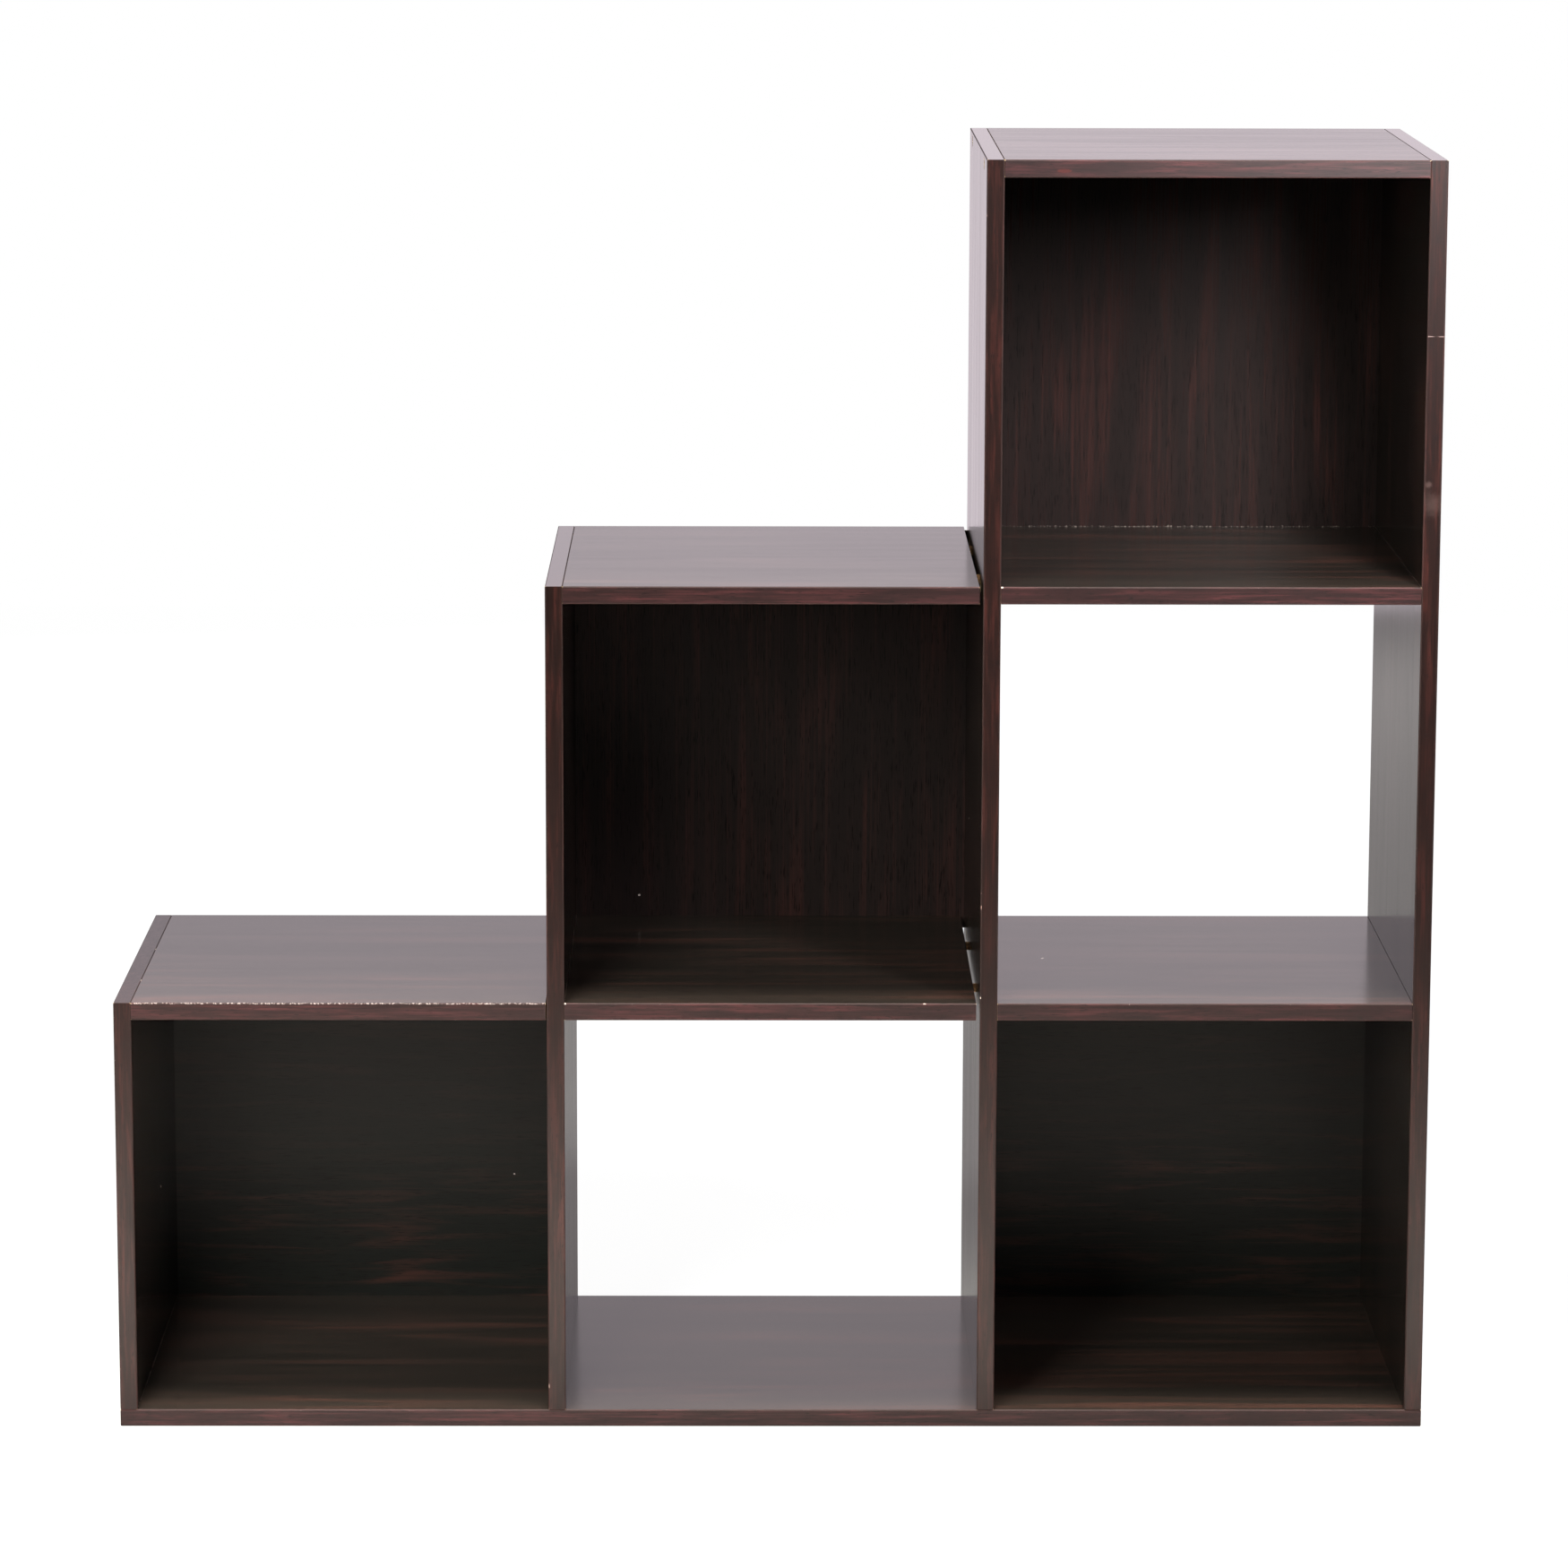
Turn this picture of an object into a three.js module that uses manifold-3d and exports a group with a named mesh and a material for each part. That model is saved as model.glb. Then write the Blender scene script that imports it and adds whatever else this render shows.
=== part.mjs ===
// Staircase bookshelf: three columns, one, two and three cubes high, of laminated particleboard.
//
// A full-width bottom board carries four uprights. Six boards lie between the uprights, each flush
// with the top of the column it closes. Thin hardboard backs close four of the six cubes.
// Screws are driven through the free outer face of an upright into the end of a board, and fluted
// dowels keep that joint in line. Where boards meet on both sides of an upright, the dowels run
// through it and are all that holds the end of the left board.
//
// Millimetres. +X is the viewer's right, +Y runs from the front to the back, +Z is up.
// The origin is on the floor, under the middle of the whole part.

import * as THREE from 'three';
import { mergeVertices } from 'three/addons/utils/BufferGeometryUtils.js';
import Module from 'manifold-3d';

const wasm = await Module();
wasm.setup();

// Boards
const BOARD_THICKNESS = 12;
const BOARD_DEPTH = 288;
const CUBE_WIDTH = 284;
const CUBE_HEIGHT = 276;
const FRONT_ARRIS = 0.7;
const END_ARRIS = 0.5; // on the ends that stay bare
const HAIRLINE = 0.05; // between faces that butt together

// How far short of the next upright a board stops at its end without screws
const LEFT_COLUMN_SLACK = 0.7;
const MIDDLE_COLUMN_SLACK = 2.4;

// Back panels
const BACK_THICKNESS = 3;
const BACK_RAIL_LAP = 9; // on the rear edges of the boards above and below
const BACK_PARTING = 0.8; // between two backs that share the rear edge of an upright

// Countersunk screws
const SCREW_INSET = 44; // from the front edge, and from the rear edge
const SCREW_LENGTH = 38;
const SCREW_DIAMETER = 4;
const SCREW_HEAD_DIAMETER = 8;
const SCREW_HEAD_RIM = 0.5;
const SCREW_TIP = 5;
const SCREW_SET = 0.4; // head below the face of the board
const SCREW_CLEARANCE = 0.3;
const SCREW_END_ROOM = 2;
const RECESS_SPAN = 4.4;
const RECESS_SLOT = 1.2;
const RECESS_DEPTH = 1.6;

// Fluted dowels
const SCREW_TO_DOWEL = 32; // one step of the hole grid, inwards from the screw
const DOWEL_DIAMETER = 6;
const DOWEL_LENGTH = 30;
const DOWEL_FLUTE = 0.4;
const DOWEL_CHAMFER = 0.8;
const DOWEL_SEAT = 8; // depth of a dowel in an upright that it doesn't pass
const DOWEL_CLEARANCE = 0.2;
const DOWEL_END_ROOM = 1;

const OVERRUN = 1; // past the face that a cut opens
const ROUND_SIDES = 12;
const DOWEL_FLUTES = 8;

const COLUMN_CUBES = [1, 2, 3];
const CLOSED_CUBES = [
  { name: 'back_left_lower', column: 0, row: 0 },
  { name: 'back_middle_upper', column: 1, row: 1 },
  { name: 'back_right_lower', column: 2, row: 0 },
  { name: 'back_right_upper', column: 2, row: 2 },
];
const BETWEEN_BOARDS = [
  { name: 'left_top', column: 0, level: 1, slack: LEFT_COLUMN_SLACK },
  { name: 'middle_shelf', column: 1, level: 1, slack: MIDDLE_COLUMN_SLACK },
  { name: 'middle_top', column: 1, level: 2, slack: MIDDLE_COLUMN_SLACK },
  { name: 'right_lower_shelf', column: 2, level: 1, slack: 0 },
  { name: 'right_upper_shelf', column: 2, level: 2, slack: 0 },
  { name: 'right_top', column: 2, level: 3, slack: 0 },
];

// Worked out from the sizes above
const COLUMN_PITCH = CUBE_WIDTH + BOARD_THICKNESS;
const LEVEL_PITCH = CUBE_HEIGHT + BOARD_THICKNESS;
const TOTAL_WIDTH = COLUMN_CUBES.length * COLUMN_PITCH + BOARD_THICKNESS;
const TOTAL_DEPTH = BOARD_DEPTH + HAIRLINE + BACK_THICKNESS;
const FRONT_Y = -TOTAL_DEPTH / 2;
const REAR_EDGE_Y = FRONT_Y + BOARD_DEPTH;
const UPRIGHT_CUBES = [...COLUMN_CUBES, COLUMN_CUBES.at(-1)];

const uprightLeft = (upright) => -TOTAL_WIDTH / 2 + upright * COLUMN_PITCH;
const uprightRight = (upright) => uprightLeft(upright) + BOARD_THICKNESS;
const levelTop = (level) => BOARD_THICKNESS + level * LEVEL_PITCH;
const levelMiddle = (level) => levelTop(level) - BOARD_THICKNESS / 2;
const hasBoard = (column, level) =>
  BETWEEN_BOARDS.some((board) => board.column === column && board.level === level);

const laminate = new THREE.MeshStandardMaterial({ color: 0x4a3632, roughness: 0.45, metalness: 0 });
const hardboard = new THREE.MeshStandardMaterial({ color: 0x2e2622, roughness: 0.6, metalness: 0 });
const steel = new THREE.MeshStandardMaterial({ color: 0x55524e, roughness: 0.35, metalness: 1 });
const beech = new THREE.MeshStandardMaterial({ color: 0xb58a5c, roughness: 0.75, metalness: 0 });

// Joins the vertices of a closed geometry and drops the flat triangles that a pole leaves.
function weld(geometry) {
  const bare = geometry.clone();
  bare.deleteAttribute('normal');
  bare.deleteAttribute('uv');
  const welded = mergeVertices(bare);
  const corners = welded.index.array;
  const kept = [];
  for (let i = 0; i < corners.length; i += 3) {
    const [a, b, c] = [corners[i], corners[i + 1], corners[i + 2]];
    if (a !== b && b !== c && c !== a) kept.push(a, b, c);
  }
  welded.setIndex(kept);
  return welded;
}

function toSolid(geometry) {
  const welded = weld(geometry);
  return new wasm.Manifold(
    new wasm.Mesh({
      numProp: 3,
      vertProperties: new Float32Array(welded.attributes.position.array),
      triVerts: new Uint32Array(welded.index.array),
    }),
  );
}

function toGeometry(solid) {
  const mesh = solid.getMesh();
  const geometry = new THREE.BufferGeometry();
  geometry.setAttribute('position', new THREE.BufferAttribute(mesh.vertProperties, mesh.numProp));
  geometry.setIndex(new THREE.BufferAttribute(mesh.triVerts, 1));
  geometry.computeVertexNormals();
  return geometry;
}

// A turned shape about +Z, from [radius, height] points that run from the foot to the top.
function turned(points) {
  const profile = points.map(([radius, height]) => new THREE.Vector2(radius, height));
  return new THREE.LatheGeometry(profile, ROUND_SIDES).rotateX(Math.PI / 2);
}

// The outline of a rectangle from 0, 0, its corners at the start and at the end cut by an arris.
function easedOutline(length, startArris, endArris) {
  const outline = new THREE.Shape();
  outline.moveTo(0, startArris);
  outline.lineTo(startArris, 0);
  outline.lineTo(length - endArris, 0);
  outline.lineTo(length, endArris);
  outline.lineTo(length, BOARD_THICKNESS - endArris);
  outline.lineTo(length - endArris, BOARD_THICKNESS);
  outline.lineTo(startArris, BOARD_THICKNESS);
  outline.lineTo(0, BOARD_THICKNESS - startArris);
  outline.closePath();
  return outline;
}

// An outline drawn on the axes u and v and drawn out over a distance along u x v.
function drawnOut(outline, distance, u, v) {
  const axes = new THREE.Matrix4().makeBasis(u, v, new THREE.Vector3().crossVectors(u, v));
  return new THREE.ExtrudeGeometry(outline, { depth: distance, bevelEnabled: false }).applyMatrix4(axes);
}

// A board lying flat: its length along +X, its front edge at Y 0, its underside at Z 0. The front
// edge is eased all along, and an end only where it stays bare.
function boardBlank(length, startArris, endArris) {
  const [x, y, z] = [new THREE.Vector3(1, 0, 0), new THREE.Vector3(0, 1, 0), new THREE.Vector3(0, 0, 1)];
  const section = drawnOut(easedOutline(BOARD_DEPTH, FRONT_ARRIS, 0), length, y, z);
  const side = drawnOut(easedOutline(length, startArris, endArris), BOARD_DEPTH, x, z)
    .translate(0, BOARD_DEPTH, 0);
  return toGeometry(toSolid(section).intersect(toSolid(side)));
}

// The screw's head faces -Z, and Z 0 is the face of the board that it is driven into.
function screwBody() {
  const shank = SCREW_DIAMETER / 2;
  const head = SCREW_HEAD_DIAMETER / 2;
  const coneStart = SCREW_SET + SCREW_HEAD_RIM;
  return turned([
    [0, SCREW_SET],
    [head, SCREW_SET],
    [head, coneStart],
    [shank, coneStart + head - shank],
    [shank, SCREW_SET + SCREW_LENGTH - SCREW_TIP],
    [0, SCREW_SET + SCREW_LENGTH],
  ]);
}

function screwRecess() {
  const reach = RECESS_SPAN / 2;
  const half = RECESS_SLOT / 2;
  const cross = new THREE.Shape();
  cross.moveTo(reach, -half);
  for (let arm = 0; arm < 4; arm += 1) {
    const turn = (arm * Math.PI) / 2;
    for (const [x, y] of [[reach, -half], [reach, half], [half, half]]) {
      cross.lineTo(x * Math.cos(turn) - y * Math.sin(turn), x * Math.sin(turn) + y * Math.cos(turn));
    }
  }
  const depth = OVERRUN + RECESS_DEPTH;
  return new THREE.ExtrudeGeometry(cross, { depth, bevelEnabled: false })
    .translate(0, 0, SCREW_SET - OVERRUN);
}

function screwGeometry() {
  return toGeometry(toSolid(screwBody()).subtract(toSolid(screwRecess())));
}

// The countersink and the bore that the screw leaves in the boards that it passes.
function screwBore() {
  const bore = SCREW_DIAMETER / 2 + SCREW_CLEARANCE;
  const sink = SCREW_HEAD_DIAMETER / 2 + SCREW_CLEARANCE;
  const coneStart = SCREW_SET + SCREW_HEAD_RIM;
  return turned([
    [0, -OVERRUN],
    [sink, -OVERRUN],
    [sink, coneStart],
    [bore, coneStart + sink - bore],
    [bore, SCREW_SET + SCREW_LENGTH + SCREW_END_ROOM],
    [0, SCREW_SET + SCREW_LENGTH + SCREW_END_ROOM],
  ]);
}

// A fluted dowel along +Z from Z 0.
function dowelGeometry() {
  const crest = DOWEL_DIAMETER / 2;
  const root = crest - DOWEL_FLUTE;
  const section = new THREE.Shape();
  const points = Array.from({ length: 2 * DOWEL_FLUTES }, (_, step) => {
    const radius = step % 2 === 0 ? crest : root;
    const angle = (step * Math.PI) / DOWEL_FLUTES;
    return new THREE.Vector2(radius * Math.cos(angle), radius * Math.sin(angle));
  });
  section.setFromPoints(points);
  return new THREE.ExtrudeGeometry(section, {
    depth: DOWEL_LENGTH - 2 * DOWEL_CHAMFER,
    bevelThickness: DOWEL_CHAMFER,
    bevelSize: DOWEL_CHAMFER,
    bevelOffset: -DOWEL_CHAMFER,
    bevelSegments: 1,
  }).translate(0, 0, DOWEL_CHAMFER);
}

function dowelBore() {
  const bore = DOWEL_DIAMETER / 2 + DOWEL_CLEARANCE;
  return turned([
    [0, -DOWEL_END_ROOM],
    [bore, -DOWEL_END_ROOM],
    [bore, DOWEL_LENGTH + DOWEL_END_ROOM],
    [0, DOWEL_LENGTH + DOWEL_END_ROOM],
  ]);
}

// A placed piece, and the bores that other pieces cut in it.
function piece(name, geometry, material, position, turnAboutY = 0) {
  const mesh = new THREE.Mesh(geometry, material);
  mesh.name = name;
  mesh.position.copy(position);
  mesh.rotation.y = turnAboutY;
  mesh.updateMatrixWorld();
  return { mesh, bores: [] };
}

function bottomBoard() {
  const corner = new THREE.Vector3(-TOTAL_WIDTH / 2, FRONT_Y, 0);
  return piece('bottom_board', boardBlank(TOTAL_WIDTH, END_ARRIS, END_ARRIS), laminate, corner);
}

// An upright is a board stood on end, so its underside becomes its right face.
function uprightBoard(upright) {
  const foot = BOARD_THICKNESS + HAIRLINE;
  const corner = new THREE.Vector3(uprightRight(upright), FRONT_Y, foot);
  const height = levelTop(UPRIGHT_CUBES[upright]) - foot;
  const blank = boardBlank(height, 0, END_ARRIS);
  return piece(`upright_${upright + 1}`, blank, laminate, corner, -Math.PI / 2);
}

function betweenBoard({ name, column, level, slack }) {
  const start = uprightRight(column) + HAIRLINE;
  const end = uprightLeft(column + 1) - HAIRLINE - slack;
  const corner = new THREE.Vector3(start, FRONT_Y, levelTop(level) - BOARD_THICKNESS);
  return piece(name, boardBlank(end - start, 0, 0), laminate, corner);
}

// A back laps the rear edges all round its cube. It shares an upright's edge half and half with
// the back of the next column.
function backPanel({ name, column, row }) {
  const sideLap = (BOARD_THICKNESS - BACK_PARTING) / 2;
  const width = CUBE_WIDTH + 2 * sideLap;
  const height = CUBE_HEIGHT + 2 * BACK_RAIL_LAP;
  const geometry = new THREE.BoxGeometry(width, BACK_THICKNESS, height);
  const centre = new THREE.Vector3(
    uprightRight(column) + CUBE_WIDTH / 2,
    FRONT_Y + TOTAL_DEPTH - BACK_THICKNESS / 2,
    levelTop(row) + CUBE_HEIGHT / 2,
  );
  return piece(name, geometry, hardboard, centre);
}

// One fastener at the front and one at the rear, as far in from the front edge as from the rear one.
function pair(name, inset, makeOne) {
  return [makeOne(`${name}_front`, FRONT_Y + inset), makeOne(`${name}_rear`, REAR_EDGE_Y - inset)];
}

const screwShape = screwGeometry();
const screwCutter = screwBore();
const dowelShape = dowelGeometry();
const dowelCutter = dowelBore();

const DRIVEN_RIGHT = Math.PI / 2;
const DRIVEN_LEFT = -Math.PI / 2;
const DRIVEN_UP = 0;

// A pair of screws from the face at x, z, driven as turned, and their bores in the boards passed.
function screwPair(name, x, z, turn, passed) {
  return pair(name, SCREW_INSET, (title, y) => {
    const screw = piece(title, screwShape, steel, new THREE.Vector3(x, y, z), turn);
    for (const board of passed) board.bores.push({ cutter: screwCutter, matrix: screw.mesh.matrix });
    return screw;
  });
}

// A pair of dowels that run right from x, and their bores in the boards that they join.
function dowelPair(name, x, z, joined) {
  return pair(name, SCREW_INSET + SCREW_TO_DOWEL, (title, y) => {
    const dowel = piece(title, dowelShape, beech, new THREE.Vector3(x, y, z), DRIVEN_RIGHT);
    for (const board of joined) board.bores.push({ cutter: dowelCutter, matrix: dowel.mesh.matrix });
    return dowel;
  });
}

const bottom = bottomBoard();
const uprights = UPRIGHT_CUBES.map((_, upright) => uprightBoard(upright));
const between = BETWEEN_BOARDS.map((spec) => ({ ...spec, board: betweenBoard(spec) }));
const boardAt = (column, level) =>
  between.find((item) => item.column === column && item.level === level).board;

// The left end of each board: screws through the upright, and dowels that go on into the board on
// the upright's other side where there is one.
function leftEndFasteners({ name, column, level, board }) {
  const upright = uprights[column];
  const z = levelMiddle(level);
  const screws = screwPair(`${name}_left_screw`, uprightLeft(column), z, DRIVEN_RIGHT, [upright, board]);
  if (!hasBoard(column - 1, level)) {
    const start = uprightRight(column) - DOWEL_SEAT;
    return [...screws, ...dowelPair(`${name}_left_dowel`, start, z, [upright, board])];
  }
  const start = uprightLeft(column) + BOARD_THICKNESS / 2 - DOWEL_LENGTH / 2;
  const joined = [boardAt(column - 1, level), upright, board];
  return [...screws, ...dowelPair(`${name}_through_dowel`, start, z, joined)];
}

// The right end has fasteners of its own only at the last upright, whose outer face is free.
function rightEndFasteners({ name, column, level, board }) {
  if (column !== COLUMN_CUBES.length - 1) return [];
  const upright = uprights[column + 1];
  const z = levelMiddle(level);
  const face = uprightRight(column + 1);
  const dowelStart = uprightLeft(column + 1) + DOWEL_SEAT - DOWEL_LENGTH;
  return [
    ...screwPair(`${name}_right_screw`, face, z, DRIVEN_LEFT, [upright, board]),
    ...dowelPair(`${name}_right_dowel`, dowelStart, z, [upright, board]),
  ];
}

function footFasteners(upright, index) {
  const x = uprightLeft(index) + BOARD_THICKNESS / 2;
  return screwPair(`upright_${index + 1}_foot_screw`, x, 0, DRIVEN_UP, [bottom, upright]);
}

const fasteners = [
  ...between.flatMap(leftEndFasteners),
  ...between.flatMap(rightEndFasteners),
  ...uprights.flatMap(footFasteners),
];

// Cuts a board's bores, with each cutter brought from the assembly into the board's own frame.
function drill(board) {
  const toBoard = board.mesh.matrix.clone().invert();
  let solid = toSolid(board.mesh.geometry);
  for (const { cutter, matrix } of board.bores) {
    const local = new THREE.Matrix4().multiplyMatrices(toBoard, matrix);
    solid = solid.subtract(toSolid(cutter.clone().applyMatrix4(local)));
  }
  board.mesh.geometry = toGeometry(solid);
}

function groupOf(pieces) {
  const group = new THREE.Group();
  group.add(...pieces.map((item) => item.mesh));
  return group;
}

const boards = [bottom, ...uprights, ...between.map((item) => item.board)];
boards.forEach(drill);

const bookshelf = new THREE.Group();
bookshelf.name = 'staircase_bookshelf';
bookshelf.add(groupOf(boards), groupOf(CLOSED_CUBES.map(backPanel)), groupOf(fasteners));

export default bookshelf;
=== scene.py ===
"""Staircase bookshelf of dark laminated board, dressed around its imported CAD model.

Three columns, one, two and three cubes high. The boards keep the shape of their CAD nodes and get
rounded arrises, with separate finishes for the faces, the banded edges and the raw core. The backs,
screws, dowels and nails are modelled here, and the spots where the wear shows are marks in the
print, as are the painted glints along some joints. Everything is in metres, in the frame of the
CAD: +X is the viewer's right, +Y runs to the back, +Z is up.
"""

import logging
from collections.abc import Iterable, Sequence
from dataclasses import dataclass, field, replace
from enum import Enum
from math import pi, radians
from typing import Any, Protocol, Self

import bmesh
import bpy
from mathutils import Matrix, Vector


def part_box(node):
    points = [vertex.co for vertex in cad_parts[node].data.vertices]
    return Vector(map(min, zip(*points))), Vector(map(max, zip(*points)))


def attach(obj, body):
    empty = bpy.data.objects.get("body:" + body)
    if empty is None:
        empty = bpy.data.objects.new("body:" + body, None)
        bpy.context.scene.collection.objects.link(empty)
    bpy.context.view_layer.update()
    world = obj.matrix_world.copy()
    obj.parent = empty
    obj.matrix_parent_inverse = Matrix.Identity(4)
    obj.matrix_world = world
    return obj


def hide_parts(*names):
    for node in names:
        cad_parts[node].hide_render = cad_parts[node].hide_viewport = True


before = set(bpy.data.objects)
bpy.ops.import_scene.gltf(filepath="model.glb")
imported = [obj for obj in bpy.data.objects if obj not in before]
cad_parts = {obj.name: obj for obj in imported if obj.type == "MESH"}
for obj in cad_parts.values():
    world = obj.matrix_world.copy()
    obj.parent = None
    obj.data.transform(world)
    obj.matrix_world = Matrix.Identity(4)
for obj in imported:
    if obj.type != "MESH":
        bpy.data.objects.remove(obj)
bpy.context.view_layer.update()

log = logging.getLogger("staircase_bookshelf")

MM = 0.001
WELD = 0.002 * MM
ROOT = "root"

Tree = bpy.types.NodeTree
Node = bpy.types.Node
Material = bpy.types.Material
Shape = bmesh.types.BMesh
Colour = tuple[float, float, float, float]
Point = tuple[float, float, float]


class Side(Enum):
    """The six directions that a face of a board can look in."""

    LEFT = (-1, 0, 0)
    RIGHT = (1, 0, 0)
    FRONT = (0, -1, 0)
    REAR = (0, 1, 0)
    UNDER = (0, 0, -1)
    TOP = (0, 0, 1)

    def faces(self, normal: Vector, least: float) -> bool:
        """Says whether a normal leans this way by at least a share from 0 to 1."""
        return normal.dot(Vector(self.value)) > least


class Grain(Enum):
    """The axis along which the printed wood grain runs."""

    ACROSS = 0
    UPWARDS = 2

    def stretch(self, length: float, width: float) -> Vector:
        """Gives a Mapping node's scale for a pattern of this grain.

        Args:
            length: How long the pattern's marks are along the grain, in metres.
            width: How wide they are across it, in metres.

        Returns:
            Repeats per metre along X, Y and Z.
        """
        scale = Vector((1 / width, 1 / width, 1 / width))
        scale[self.value] = 1 / length
        return scale


class Slot(Enum):
    """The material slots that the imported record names."""

    LAMINATE = "laminate_board"
    HARDBOARD = "hardboard_back"
    STEEL = "steel_screw"
    BEECH = "beech_dowel"


def linear(code: str) -> Colour:
    """Turns a colour as it is written on screen into the light that a shader works with.

    Args:
        code: An sRGB colour such as "#4a3632".

    Returns:
        The linear red, green and blue from 0 to 1, and an alpha of 1.
    """
    parts = [int(code[i : i + 2], 16) / 255 for i in (1, 3, 5)]
    light = [c / 12.92 if c <= 0.04045 else ((c + 0.055) / 1.055) ** 2.4 for c in parts]
    return (light[0], light[1], light[2], 1.0)


def add_node(
    tree: Tree,
    kind: str,
    inputs: dict[str | int, Any] | None = None,
    stops: Iterable[tuple[float, str]] = (),
    **settings: Any,
) -> Node:
    """Adds a shader node with its settings, its values and its links.

    Args:
        tree: The node tree that gets the node.
        kind: The node's type without its ShaderNode prefix.
        inputs: For each input's name or number, its value or the output that feeds it.
        stops: A colour ramp's places and sRGB colours, from the first to the last.
        settings: The node's own properties.

    Returns:
        The new node.
    """
    made = tree.nodes.new("ShaderNode" + kind)
    for name, value in settings.items():
        setattr(made, name, value)
    for key, value in (inputs or {}).items():
        if isinstance(value, bpy.types.NodeSocket):
            tree.links.new(value, made.inputs[key])
        else:
            made.inputs[key].default_value = value
    for number, (place, code) in enumerate(stops):
        ramp = made.color_ramp.elements
        stop = ramp[number] if number < 2 else ramp.new(place)
        stop.position = place
        stop.color = linear(code)
    return made


def mixed(tree: Tree, share: Any, low: Any, high: Any) -> Any:
    """Gives the output of a mix of two colours, the first at a share of 0, the second at 1."""
    return add_node(tree, "Mix", {0: share, 6: low, 7: high}, data_type="RGBA").outputs[2]


def toned(tree: Tree, level: Any, stops: Iterable[tuple[float, str]]) -> Any:
    """Gives the output of a colour ramp over a level."""
    return add_node(tree, "ValToRGB", {0: level}, stops=stops).outputs[0]


def noise(tree: Tree, place: Any, scale: float, detail: float, **others: float) -> Any:
    """Gives the output of a noise over a place."""
    inputs = {"Vector": place, "Scale": scale, "Detail": detail, **others}
    return add_node(tree, "TexNoise", inputs).outputs[0]


def scaled(tree: Tree, place: Any, scale: Vector) -> Any:
    """Gives the output of a place that is scaled along each axis."""
    return add_node(tree, "Mapping", {"Vector": place, "Scale": scale}).outputs[0]


def new_material(name: str, constants: dict[str, Any]) -> tuple[Material, Tree, Node]:
    """Starts a material.

    Args:
        name: The real material's name.
        constants: Values set on the shader's own sockets.

    Returns:
        The material, its node tree and its Principled shader.
    """
    material = bpy.data.materials.new(name)
    material.use_nodes = True
    shader = material.node_tree.nodes["Principled BSDF"]
    for socket, value in constants.items():
        shader.inputs[socket].default_value = value
    return material, material.node_tree, shader


@dataclass(frozen=True)
class Mark:
    """A small ragged spot of a printed surface: chipped to the core, worn pale, a knot or a painted
    glint.

    Its middle, measured from the low corner of its board, and its size are in millimetres. A ragged
    mark with a low wear_and_glint is a row of specks.
    """

    middle: Point
    size: Point
    tone: str = "#dccfc6"
    strength: float = 1.0
    ragged: float = 0.9
    softness: float = 0.15
    grit: float = 0.9 * MM
    wear_and_glint: float = 0.5

    def on_board(self, corner: Vector) -> Self:
        """Gives the mark in the frame of the CAD, for a board with this low corner."""
        middle = tuple(at + start / MM for at, start in zip(self.middle, corner))
        return replace(self, middle=middle)

    def over(self, tree: Tree, place: Any, colour: Any) -> Any:
        """Adds the nodes that lay the mark over a colour.

        Args:
            tree: The material's node tree.
            place: The output that gives Object coordinates.
            colour: The output of the colour below.

        Returns:
            The output of the marked colour.
        """
        scale = [1 / (MM * width / 2) for width in self.size]
        start = [-MM * at * share for at, share in zip(self.middle, scale)]
        centred = add_node(
            tree, "Mapping", {"Vector": place, "Location": Vector(start), "Scale": Vector(scale)}
        ).outputs[0]
        away = add_node(tree, "VectorMath", {0: centred}, operation="LENGTH").outputs["Value"]
        torn = noise(tree, place, scale=1 / self.grit, detail=2.0)
        edge = add_node(
            tree, "Math", {0: torn, 1: self.ragged, 2: away}, operation="MULTIPLY_ADD"
        ).outputs[0]
        rim = 1 + self.ragged * self.wear_and_glint
        cover = add_node(
            tree,
            "MapRange",
            {0: edge, 1: rim - self.softness, 2: rim + self.softness, 3: self.strength, 4: 0.0},
        ).outputs[0]
        return mixed(tree, cover, colour, linear(self.tone))


def painted_glint_seam(middle: Point, size: Point, tone: str = "#756b64") -> Mark:
    """Gives a pale broken line along a joint: a painted glint of light on the joint's edge."""
    return Mark(middle, size, tone, ragged=6.0, softness=0.6, grit=1.4 * MM, wear_and_glint=0.3)


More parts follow.
